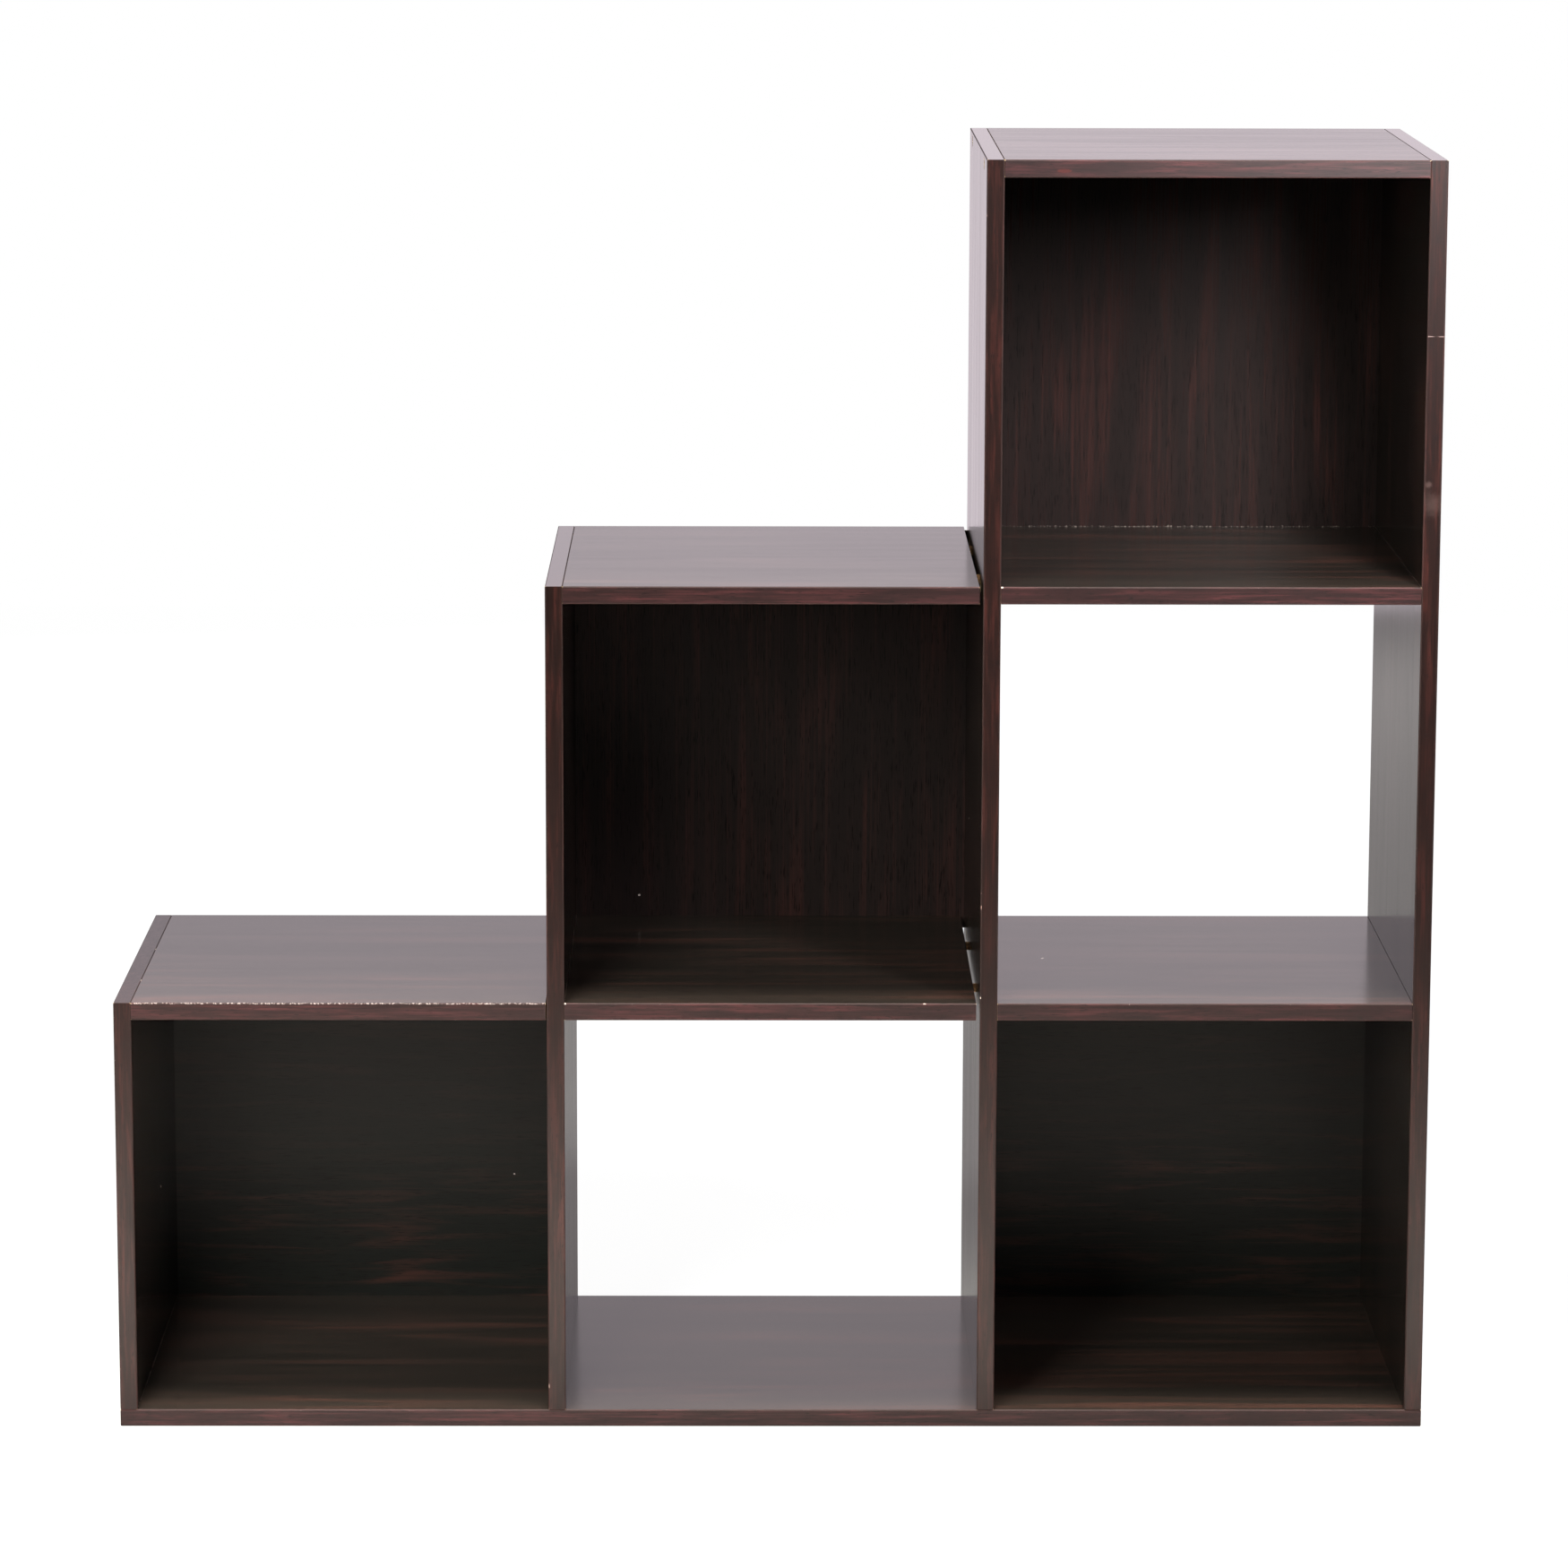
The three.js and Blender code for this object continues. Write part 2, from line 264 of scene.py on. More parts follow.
@dataclass(frozen=True)
class WoodPrint:
    """Melamine paper printed with dark walnut, pressed on a board or an edge band.

    The paper gives a brown ground with redder streaks and short dark pores along the grain. Its
    satin resin skin mirrors a bright surround at low angles, where the boards turn lilac grey.
    """

    name: str
    grain: Grain
    ground: str
    wood: str
    flame: str
    pore: str
    band_width: float
    streak_width: float
    streak_length: float
    streak_share: float = 0.3
    roughness: float = 0.16
    ior: float = 1.31
    gloss: float = 0.43
    satin_streaks: float = 0.02
    pore_dullness: float = 0.03
    contrast: float = 1.0
    pore_width: float = 0.7 * MM  # real pores are 0.2 mm, too fine to show
    pore_length: float = 11 * MM
    # above this height the figure is weakened: painted light for the sheen that washes it out
    figured_below: float | None = None
    fade: float = 40 * MM
    figure_share_in_sheen: float = 0.3
    marks: tuple[Mark, ...] = ()

    PLAIN = 0.5  # the noise's middle level
    TONE_SPREAD = 0.17  # from the plain wood to the ground or the flame, on the noise's scale
    SATIN_SPREAD = 0.15  # from the plain wood to the dullest or the brightest
    PORE_EDGE = (0.3, 0.4)  # the noise's levels in a pore and beside it
    BAND_STRETCH = 12  # how many times longer than wide a band is

    def faded(self, tree: Tree, place: Any, figure: Any) -> Any:
        """Adds the nodes that weaken the figure above a height: painted light, standing for the sheen
        that washes the figure out there.

        Args:
            tree: The material's node tree.
            place: The output that gives Object coordinates.
            figure: The output of the figure's level.

        Returns:
            The output of the weakened level.
        """
        height = add_node(tree, "SeparateXYZ", {0: place}).outputs["Z"]
        top = self.figured_below + self.fade
        shown = add_node(
            tree, "MapRange", {0: height, 1: self.figured_below, 2: top, 3: 1.0, 4: self.figure_share_in_sheen}
        ).outputs[0]
        return add_node(
            tree, "Mix", {0: shown, 2: self.PLAIN, 3: figure}, data_type="FLOAT"
        ).outputs[0]

    def colour(self, tree: Tree, place: Any) -> tuple[Any, Any, Any]:
        """Adds the nodes of the printed figure.

        Args:
            tree: The material's node tree.
            place: The output that gives Object coordinates.

        Returns:
            The outputs that give the colour, 0 in the pores and 1 between them, and the figure's
            level, which is about PLAIN in the plain wood.
        """
        # Length, width, detail and twist of the bands, the streaks and the pores
        layers = (
            (self.band_width * self.BAND_STRETCH, self.band_width, 2.0, 0.8),
            (self.streak_length, self.streak_width, 3.0, 0.2),
            (self.pore_length, self.pore_width, 1.0, 0.0),
        )
        band, streak, pore = [
            noise(
                tree,
                scaled(tree, place, self.grain.stretch(length, width)),
                scale=1.0,
                detail=detail,
                Roughness=0.55,
                Distortion=twist,
            )
            for length, width, detail, twist in layers
        ]
        figure = add_node(
            tree, "Mix", {0: self.streak_share, 2: band, 3: streak}, data_type="FLOAT"
        ).outputs[0]
        if self.figured_below is not None:
            figure = self.faded(tree, place, figure)
        spread = self.TONE_SPREAD / self.contrast
        tones = (
            (self.PLAIN - spread, self.ground),
            (self.PLAIN + spread, self.flame),
            (self.PLAIN, self.wood),
        )
        depth = toned(tree, pore, zip(self.PORE_EDGE, ("#000000", "#ffffff")))
        colour = mixed(tree, depth, linear(self.pore), toned(tree, figure, tones))
        for mark in self.marks:
            colour = mark.over(tree, place, colour)
        return colour, depth, figure

    def material(self) -> Material:
        """Makes the material.

        Returns:
            The new material.
        """
        material, tree, shader = new_material(
            self.name, {"IOR": self.ior, "Specular IOR Level": self.gloss}
        )
        place = add_node(tree, "TexCoord").outputs["Object"]
        colour, depth, figure = self.colour(tree, place)
        dull, bright = [
            self.roughness + self.pore_dullness + side * self.satin_streaks for side in (1, -1)
        ]
        low, high = self.PLAIN - self.SATIN_SPREAD, self.PLAIN + self.SATIN_SPREAD
        streaks = add_node(
            tree, "MapRange", {0: figure, 1: low, 2: high, 3: dull, 4: bright}
        ).outputs[0]
        satin = add_node(
            tree, "Math", {0: depth, 1: -self.pore_dullness, 2: streaks}, operation="MULTIPLY_ADD"
        ).outputs[0]
        tree.links.new(colour, shader.inputs["Base Color"])
        tree.links.new(satin, shader.inputs["Roughness"])
        return material


@dataclass(frozen=True)
class WornAndHighlitArris:
    """The arris between two printed surfaces, where a file has cut the band flush.

    It is tinted a little lighter than the print, a painted highlight along the arris, and where it
    is chipped the pale core shows as a broken line.
    """

    name: str
    print_below: WoodPrint
    chips: float
    # tone of the painted highlight that lightens every arris a little
    arris_highlight: str = "#77625f"
    core: str = "#978885"
    chip_length: float = 1.2 * MM
    arris_highlight_share: float = 0.08
    sound_level: float = 0.78  # the noise's level that chips an arris without wear
    chipping: float = 0.3  # how far full wear lowers that level
    chip_edge: float = 0.08

    def material(self) -> Material:
        """Makes the material.

        Returns:
            The new material.
        """
        material, tree, shader = new_material(
            self.name, {"Roughness": 0.55, "IOR": 1.36, "Specular IOR Level": 0.25}
        )
        place = add_node(tree, "TexCoord").outputs["Object"]
        colour = self.print_below.colour(tree, place)[0]
        torn = noise(tree, place, scale=1 / self.chip_length, detail=2.0)
        level = self.sound_level - self.chipping * self.chips
        broken = toned(tree, torn, ((level, "#000000"), (level + self.chip_edge, "#ffffff")))
        # painted highlight: the arris is tinted a little lighter all along
        arris_highlight = mixed(tree, self.arris_highlight_share, colour, linear(self.arris_highlight))
        chipped = mixed(tree, broken, arris_highlight, linear(self.core))
        tree.links.new(chipped, shader.inputs["Base Color"])
        return material


@dataclass(frozen=True)
class PressedChips:
    """Particleboard core: pressed wood chips with resin, bare where a board is bored or chipped."""

    name: str = "particleboard_core"
    pale: str = "#d8c3a0"
    dark: str = "#a98a62"
    chip: float = 1.6 * MM

    def material(self) -> Material:
        """Makes the material.

        Returns:
            The new material.
        """
        material, tree, shader = new_material(self.name, {"Roughness": 0.9, "IOR": 1.45})
        place = add_node(tree, "TexCoord").outputs["Object"]
        flakes = add_node(
            tree, "TexVoronoi", {"Vector": place, "Scale": 1 / self.chip, "Randomness": 1.0}
        )
        tone = toned(tree, flakes.outputs["Color"], ((0.2, self.dark), (0.8, self.pale)))
        relief = add_node(
            tree,
            "Bump",
            {"Strength": 0.5, "Distance": 0.1 * MM, "Height": flakes.outputs["Distance"]},
        ).outputs[0]
        tree.links.new(tone, shader.inputs["Base Color"])
        tree.links.new(relief, shader.inputs["Normal"])
        return material


@dataclass(frozen=True)
class RawHardboard:
    """Wet-pressed hardboard left raw: dull brown fibre with the print of the press screen."""

    name: str = "raw_hardboard"
    dark: str = "#654b38"
    pale: str = "#775b44"
    fibre: float = 3 * MM
    screen: float = 1.4 * MM

    def material(self) -> Material:
        """Makes the material.

        Returns:
            The new material.
        """
        material, tree, shader = new_material(self.name, {"Roughness": 0.85, "IOR": 1.45})
        place = add_node(tree, "TexCoord").outputs["Object"]
        fibres = noise(tree, place, scale=1 / self.fibre, detail=6.0)
        weave = [
            add_node(
                tree,
                "TexWave",
                {"Vector": place, "Scale": 1 / self.screen / pi, "Distortion": 0.6},
                bands_direction=axis,
            ).outputs["Fac"]
            for axis in ("X", "Z")
        ]
        screen = add_node(tree, "Math", {0: weave[0], 1: weave[1]}, operation="MULTIPLY").outputs[0]
        tone = toned(tree, fibres, ((0.3, self.dark), (0.7, self.pale)))
        relief = add_node(
            tree, "Bump", {"Strength": 0.4, "Distance": 0.1 * MM, "Height": screen}
        ).outputs[0]
        tree.links.new(tone, shader.inputs["Base Color"])
        tree.links.new(relief, shader.inputs["Normal"])
        return material


@dataclass(frozen=True)
class PlatedSteel:
    """Zinc-plated steel, cold headed: a dull grey metal with a cloudy, slightly uneven gloss."""

    name: str
    tone: str
    shade: str
    roughness: float
    unevenness: float = 0.1
    cloud: float = 2 * MM

    def material(self) -> Material:
        """Makes the material.

        Returns:
            The new material.
        """
        material, tree, shader = new_material(self.name, {"Metallic": 1.0})
        place = add_node(tree, "TexCoord").outputs["Object"]
        cloud = noise(tree, place, scale=1 / self.cloud, detail=4.0)
        tone = toned(tree, cloud, ((0.3, self.shade), (0.7, self.tone)))
        dull, bright = self.roughness + self.unevenness, self.roughness - self.unevenness
        gloss = add_node(tree, "MapRange", {0: cloud, 3: dull, 4: bright}).outputs[0]
        tree.links.new(tone, shader.inputs["Base Color"])
        tree.links.new(gloss, shader.inputs["Roughness"])
        return material


@dataclass(frozen=True)
class TurnedBeech:
    """Beech dowel rod, fluted and dry: pale pinkish wood with fine darker flecks along it."""

    name: str = "beech_dowel"
    pale: str = "#d3a878"
    fleck: str = "#a87a4e"
    fleck_length: float = 6 * MM
    fleck_width: float = 0.5 * MM

    def material(self) -> Material:
        """Makes the material.

        Returns:
            The new material.
        """
        material, tree, shader = new_material(self.name, {"Roughness": 0.8, "IOR": 1.5})
        place = add_node(tree, "TexCoord").outputs["Object"]
        along = scaled(tree, place, Grain.ACROSS.stretch(self.fleck_length, self.fleck_width))
        flecks = noise(tree, along, scale=1.0, detail=3.0)
        tone = toned(tree, flecks, ((0.35, self.fleck), (0.6, self.pale)))
        relief = add_node(
            tree, "Bump", {"Strength": 0.3, "Distance": 0.05 * MM, "Height": flecks}
        ).outputs[0]
        tree.links.new(tone, shader.inputs["Base Color"])
        tree.links.new(relief, shader.inputs["Normal"])
        return material


class Finish(Protocol):
    """What the workshop asks of a finish."""

    @property
    def name(self) -> str:
        """Gives the real material's name."""

    def material(self) -> Material:
        """Makes the material."""


@dataclass
class Workshop:
    """The finishes of the bookshelf, each made once, and what every finished piece needs."""

    made: dict[str, Material] = field(default_factory=dict)

    def finish(self, wanted: Finish) -> Material:
        """Gives the material of a finish, and makes it the first time.

        Args:
            wanted: The finish.

        Returns:
            Its material.
        """
        if wanted.name not in self.made:
            self.made[wanted.name] = wanted.material()
        return self.made[wanted.name]

    def deliver(
        self,
        name: str,
        shape: Shape,
        finishes: Iterable[Finish],
        replaced: Sequence[str] = (),
    ) -> bpy.types.Object:
        """Turns a finished shape into a piece of the bookshelf.

        Args:
            name: The piece's name.
            shape: Its mesh, in the frame of the CAD. It is freed.
            finishes: The finishes of its faces, in the order of their material numbers.
            replaced: The CAD nodes that the piece stands for.

        Returns:
            The piece, riding on the only body.
        """
        mesh = bpy.data.meshes.new(name)
        shape.to_mesh(mesh)
        shape.free()
        for item in finishes:
            mesh.materials.append(self.finish(item))
        piece = bpy.data.objects.new(name, mesh)
        bpy.context.scene.collection.objects.link(piece)
        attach(piece, ROOT)
        if replaced:
            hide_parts(*replaced)
        log.info("%s: %d faces", name, len(mesh.polygons))
        return piece


def drawn_print(name: str, grain: Grain, **changes: Any) -> WoodPrint:
    """Gives the print of a board's wide faces, with some of its values changed.

    Args:
        name: The finish's name.
        grain: The way its grain runs.
        changes: The values that differ from the usual ones.

    Returns:
        The print.
    """
    values = {
        "ground": "#231f1c",
        "wood": "#2b2521",
        "flame": "#432e28",
        "pore": "#1a1514",
        "band_width": 24 * MM,
        "streak_width": 2.2 * MM,
        "streak_length": 150 * MM,
    }
    # The uprights' faces get a darker copy of the same print: painted shade.
    if grain is Grain.UPWARDS:
        values |= {"ground": "#171513", "wood": "#1d1a17", "flame": "#33241f", "pore": "#120f0e"}
    return WoodPrint(name=name, grain=grain, **{**values, **changes})


def band_print(name: str, grain: Grain, **changes: Any) -> WoodPrint:
    """Gives the print of the narrow edge band, with some of its values changed.

    Args:
        name: The finish's name.
        grain: The way its grain runs.
        changes: The values that differ from the usual ones.

    Returns:
        The print.
    """
    values = {
        "ground": "#1a0f0f",
        "wood": "#261616",
        "flame": "#442425",
        "pore": "#140c0c",
        "band_width": 5 * MM,
        "streak_width": 1.4 * MM,
        "streak_length": 60 * MM,
        "streak_share": 0.5,
        "pore_length": 7 * MM,
        "roughness": 0.43,
        "gloss": 0.57,
    }
    # The uprights' bands get darker colours of the same print: painted shade, as their upright grain
    # catches less light from above.
    if grain is Grain.UPWARDS:
        values |= {
            "ground": "#150c0b",
            "wood": "#1e110f",
            "flame": "#371c19",
            "roughness": 0.3,
            "gloss": 0.58,
        }
    return WoodPrint(name=name, grain=grain, **{**values, **changes})


def round_edges(shape: Shape, edges: Sequence[bmesh.types.BMEdge], width: float) -> None:
    """Rounds some edges of a shape, each with two narrow facets.

    Args:
        shape: The mesh.
        edges: Its edges to be rounded.
        width: How far the rounding reaches.
    """
    bmesh.ops.bevel(
        shape,
        geom=edges,
        affect="EDGES",
        offset=width,
        offset_type="OFFSET",
        segments=2,
        profile=0.5,
        material=-1,
    )


@dataclass
class Board:
    """One laminated board, made from a copy of its CAD node.

    The order of its finishes is: face, band, arris, chipped arris, core, band of the bare ends.
    """

    node: str
    grain: Grain
    bare_ends: tuple[Side, ...] = ()
    glossy_ends: bool = False
    chipped: tuple[tuple[Side, Side], ...] = ()
    marks: tuple[Mark, ...] = ()
    rounding: float = 0.15 * MM
    low: Vector = field(init=False)
    high: Vector = field(init=False)

    FACE, BAND, ARRIS, CHIPPED, CORE, END = range(6)
    SKIN = 1.2 * MM  # what lies this near to the board's box is on its outside
    FLAT = radians(0.5)  # faces that meet at less than this are one
    SHARP = radians(20)  # an edge that turns by more than this is an arris
    LEAN = 0.08  # a face looks to a side if its normal leans there by this share

    def __post_init__(self) -> None:
        """Looks up the board's box, and sets the marks in their places on it."""
        self.low, self.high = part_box(self.node)
        self.marks = tuple(mark.on_board(self.low) for mark in self.marks)

    def copy_of_node(self) -> Shape:
        """Gives the CAD node's mesh with its doubled vertices merged and its flat faces whole.

        Returns:
            The new mesh.
        """
        shape = bmesh.new()
        shape.from_mesh(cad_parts[self.node].data)
        bmesh.ops.remove_doubles(shape, verts=shape.verts, dist=WELD)
        bmesh.ops.dissolve_limit(
            shape, angle_limit=self.FLAT, verts=shape.verts, edges=shape.edges
        )
        return shape

    def sides_near(self, point: Vector) -> list[Side]:
        """Lists the sides of the board's box that a point lies close to.

        Args:
            point: A point in the frame of the CAD.

        Returns:
            The sides, if there are any.
        """
        near = []
        for side in Side:
            axis = next(i for i in range(3) if side.value[i])
            outer = self.low[axis] if side.value[axis] < 0 else self.high[axis]
            if abs(point[axis] - outer) < self.SKIN:
                near.append(side)
        return near

    def ease(self, shape: Shape) -> None:
        """Rounds the board's outer arrises.

        Args:
            shape: The board's mesh.
        """
        arrises = [
            edge
            for edge in shape.edges
            if edge.calc_face_angle(0) > self.SHARP
            and all(len(self.sides_near(vert.co)) > 1 for vert in edge.verts)
        ]
        round_edges(shape, arrises, self.rounding)

    def finish_number(self, face: bmesh.types.BMFace) -> int:
        """Says which of the board's finishes a face has.

        Args:
            face: A face of the board's mesh.

        Returns:
            Its material number.
        """
        leaning = [side for side in Side if side.faces(face.normal, self.LEAN)]
        near = self.sides_near(face.calc_center_median())
        if not set(leaning) & set(near) or len(leaning) > 2:
            return self.CORE
        if len(leaning) == 2:
            worn = any(set(pair) == set(leaning) for pair in self.chipped)
            return self.CHIPPED if worn else self.ARRIS
        side = leaning[0]
        if side in self.bare_ends:
            return self.END
        if side is Side.FRONT:
            return self.BAND
        ends = (Side.LEFT, Side.RIGHT) if self.grain is Grain.ACROSS else (Side.UNDER, Side.TOP)
        return self.CORE if side in (*ends, Side.REAR) else self.FACE

    def build(self, workshop: Workshop) -> None:
        """Makes the board and dresses it.

        Args:
            workshop: The workshop that finishes the board.
        """
        shape = self.copy_of_node()
        self.ease(shape)
        shape.normal_update()
        for face in shape.faces:
            face.material_index = self.finish_number(face)
        kind = f"{self.grain.name.lower()}_{self.node}" if self.marks else self.grain.name.lower()
        band = band_print(f"edge_band_{kind}", self.grain, marks=self.marks)
        shine = {"roughness": 0.08, "gloss": 0.8} if self.glossy_ends else {}
        finishes = (
            drawn_print(f"melamine_face_{kind}", self.grain, marks=self.marks),
            band,
            WornAndHighlitArris(f"rubbed_arris_{kind}", band, chips=0.2),
            WornAndHighlitArris(f"chipped_arris_{kind}", band, chips=0.88),
            PressedChips(),
            band_print(f"end_band_{kind}", self.grain, marks=self.marks, **shine),
        )
        workshop.deliver(self.node, shape, finishes, [self.node])


@dataclass
class Carcass:
    """The eleven boards: the bottom board, the four uprights and the six boards between them."""

    def boards(self) -> list[Board]:
        """Lists the boards, from the floor up, with the wear and the painted glints where the
        photograph shows them.

        Returns:
            The boards, ready to be built.
        """
        flat, upright = Grain.ACROSS, Grain.UPWARDS
        top, front, left, right = Side.TOP, Side.FRONT, Side.LEFT, Side.RIGHT
        low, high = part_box("right_top")
        thick = (high.z - low.z) / MM
        left_marks = (
            Mark((thick, 178.6, 111.9), (0.4, 2.6, 1.5)),
            # painted glint: a pale broken line along the joint
            painted_glint_seam((thick, 125.5, 0.5), (0.8, 500.0, 4.0), "#d8ccc2"),
            Mark((thick, 172.5, 287.9), (0.8, 6.0, 1.0)),
            Mark((thick, 71.5, 287.9), (0.8, 7.0, 1.0)),
        )
        arris_chips = (
            Mark((0.0, 0.0, 365.2), (1.0, 1.0, 2.6), "#b58f88"),
            Mark((0.0, 0.0, 355.2), (1.2, 1.0, 4.6), "#c9a59b"),
            Mark((0.0, 0.0, 291.9), (1.4, 1.0, 2.4)),
            Mark((0.0, 0.0, 826.9), (1.2, 1.0, 2.8), "#9d7f78"),
            Mark((0.0, 207.0, 376.6), (0.4, 3.0, 1.6)),
        )
        scratch_and_rubs = (
            Mark((2.0, 0.0, 746.1), (5.0, 1.0, 0.8), "#8a7672", strength=0.45, ragged=1.2),
            Mark((9.6, 0.0, 746.1), (5.0, 1.0, 0.8), "#8a7672", strength=0.4, ragged=1.2),
            Mark(
                (3.0, 0.0, 646.0),
                (4.0, 1.0, 4.0),
                "#8d746e",
                strength=0.12,
                ragged=1.6,
                softness=0.5,
            ),
            Mark(
                (5.5, 0.0, 632.5),
                (12.0, 1.0, 12.0),
                "#8d746e",
                strength=0.08,
                ragged=1.8,
                softness=0.7,
                grit=2 * MM,
            ),
        )
        knot = Mark((39.5, 0.0, 4.6), (9.5, 1.0, 2.6), "#4a1d1a", strength=0.6)
        return [
            Board("bottom_board", flat, bare_ends=(left, right)),
            Board("upright_1", upright, bare_ends=(top,), marks=left_marks),
            Board(
                "upright_2",
                upright,
                bare_ends=(top,),
                glossy_ends=True,
                marks=(Mark((0.0, 0.0, 16.8), (1.6, 1.0, 3.8), "#b39c93"),),
            ),
            Board("upright_3", upright, bare_ends=(top,), glossy_ends=True, marks=arris_chips),
            Board("upright_4", upright, bare_ends=(top,), glossy_ends=True, marks=scratch_and_rubs),
            Board("left_top", flat, chipped=((front, top),)),
            Board(
                "middle_shelf",
                flat,
                chipped=((left, top),),
                marks=(
                    Mark((246.3, 0.0, thick), (4.0, 1.2, 1.2), "#d6b7ae"),
                    Mark((0.3, 0.0, thick), (2.2, 2.0, 1.6)),
                ),
            ),
            Board("middle_top", flat),
            Board("right_lower_shelf", flat, marks=(Mark((38.0, 143.5, thick), (2.4, 3.0, 0.4)),)),
            Board(
                "right_upper_shelf",
                flat,
                chipped=((right, top),),
                marks=(
                    Mark((0.5, 0.0, thick), (2.0, 2.0, 1.6)),
                    # painted glint: a pale broken line along the joint
                    painted_glint_seam((283.6, 145.5, thick), (2.0, 380.0, 0.8)),
                ),
            ),
            Board("right_top", flat, marks=(knot,)),
        ]

    def build(self, workshop: Workshop) -> None:
        """Makes all the boards."""
        for board in self.boards():
            board.build(workshop)


def turn(shape: Shape, outline: Sequence[tuple[float, float]], sides: int) -> list[bmesh.types.BMVert]:
    """Turns an outline about the Z axis. The body is closed if both its ends lie on the axis.

    Args:
        shape: The mesh that gets the body.
        outline: Radius and height of each point, from one end to the other.
        sides: The number of sides.

    Returns:
        The body's vertices.
    """
    before = set(shape.verts)
    line = [shape.verts.new((radius, 0, height)) for radius, height in outline]
    edges = [shape.edges.new(pair) for pair in zip(line, line[1:])]
    bmesh.ops.spin(
        shape,
        geom=[*line, *edges],
        cent=(0, 0, 0),
        axis=(0, 0, 1),
        dvec=(0, 0, 0),
        angle=2 * pi,
        steps=sides,
        use_merge=True,
    )
    bmesh.ops.remove_doubles(shape, verts=[v for v in shape.verts if v not in before], dist=WELD)
    body = [vert for vert in shape.verts if vert not in before]
    faces = list({face for vert in body for face in vert.link_faces})
    bmesh.ops.recalc_face_normals(shape, faces=faces)
    return body


@dataclass
class BackPanel:
    """A hardboard back: printed in front, raw behind, held by a row of nails all round."""

    node: str
    grain: Grain
    gloss: float
    roughness: float = 0.34
    streak_width: float = 1.2 * MM
    # above this height the figure is weakened: painted light for the sheen that washes it out
    figured_below: float | None = None
    marks: tuple[Mark, ...] = ()
    bead: float = 0.35 * MM
    nail_spacing: float = 92 * MM
    nail_inset: float = 3.1 * MM
    nail_head: float = 3.4 * MM
    nail_rise: float = 0.3 * MM
    nail_rim: float = 0.2 * MM
    nail_neck: float = 0.3 * MM
    nail_length: float = 11 * MM
    nail_shank: float = 1.3 * MM
    nail_point: float = 1.5 * MM
    nail_sides: int = 12
    low: Vector = field(init=False)
    high: Vector = field(init=False)

    FRONT_FACE, RAW = range(2)
    FACING = 0.9  # a face is printed if its normal leans to the front by this share
    DOME_SHARES = ((0.0, 1.0), (0.7, 0.9), (1.0, 0.35))  # of a nail head's radius and rise
    PRINTS = {
        Grain.ACROSS: {
            "ground": "#131413",
            "wood": "#181816",
            "flame": "#3a231e",
            "pore": "#131110",
            "band_width": 9 * MM,
            "streak_share": 0.25,
            "contrast": 0.5,
        },
        Grain.UPWARDS: {
            "ground": "#1b1716",
            "wood": "#211a19",
            "flame": "#3c2421",
            "pore": "#0f0c0b",
            "band_width": 16 * MM,
            "streak_share": 0.5,
            "contrast": 0.6,
        },
    }

    def __post_init__(self) -> None:
        """Takes the node's box, a nail head's rise thinner, and sets the marks on it."""
        self.low, self.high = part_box(self.node)
        self.high.y -= self.nail_rise
        self.marks = tuple(mark.on_board(self.low) for mark in self.marks)

    def panel(self) -> Shape:
        """Makes the panel with its eased edges.

        Returns:
            The panel's mesh, its front face and the others numbered apart.
        """
        low, high = self.low, self.high
        shape = bmesh.new()
        place = Matrix.Translation((low + high) / 2) @ Matrix.Diagonal((*(high - low), 1))
        bmesh.ops.create_cube(shape, size=1, matrix=place)
        round_edges(shape, shape.edges[:], self.bead)
        shape.normal_update()
        for face in shape.faces:
            printed = Side.FRONT.faces(face.normal, self.FACING)
            face.material_index = self.FRONT_FACE if printed else self.RAW
        return shape

    def nail_places(self) -> list[Vector]:
        """Lists the points of the rear face where a nail's head sits, all round the edge.

        Returns:
            The points, in the frame of the CAD.
        """
        inset = Vector((self.nail_inset, 0, self.nail_inset))
        low, high = self.low + inset, self.high - inset
        width, height = high.x - low.x, high.z - low.z
        places = []
        across = round(width / self.nail_spacing)
        up = round(height / self.nail_spacing)
        for step in range(across + 1):
            x = low.x + width * step / across
            places += [Vector((x, high.y, low.z)), Vector((x, high.y, high.z))]
        for step in range(1, up):
            z = low.z + height * step / up
            places += [Vector((low.x, high.y, z)), Vector((high.x, high.y, z))]
        return places

    def nails(self) -> Shape:
        """Makes all the panel's nails: a domed head on a short shank, each one closed.

        Returns:
            One mesh that holds them all.
        """
        shape = bmesh.new()
        head, shank = self.nail_head / 2, self.nail_shank / 2
        outline = (
            *((head * out, self.nail_rise * up) for out, up in self.DOME_SHARES),
            (head, -self.nail_rim),
            (shank, -self.nail_rim - self.nail_neck),
            (shank, self.nail_point - self.nail_length),
            (0.0, -self.nail_length),
        )
        for place in self.nail_places():
            nail = turn(shape, outline, self.nail_sides)
            pose = Matrix.Translation(place) @ Matrix.Rotation(-pi / 2, 4, "X")
            bmesh.ops.transform(shape, matrix=pose, verts=nail)
        return shape

    def build(self, workshop: Workshop) -> None:
        """Makes the panel and its nails and dresses them.

        Args:
            workshop: The workshop that finishes them.
        """
        printed = drawn_print(
            f"{self.node}_print",
            self.grain,
            **self.PRINTS[self.grain],
            streak_width=self.streak_width,
            roughness=self.roughness,
            gloss=self.gloss,
            figured_below=self.figured_below,
            marks=self.marks,
        )
        workshop.deliver(
            self.node, self.panel(), (printed, RawHardboard()), [self.node]
        )
        nail_steel = PlatedSteel("zinc_plated_nail", "#a7a59f", "#77746e", 0.4)
        workshop.deliver(f"{self.node}_nails", self.nails(), (nail_steel,))


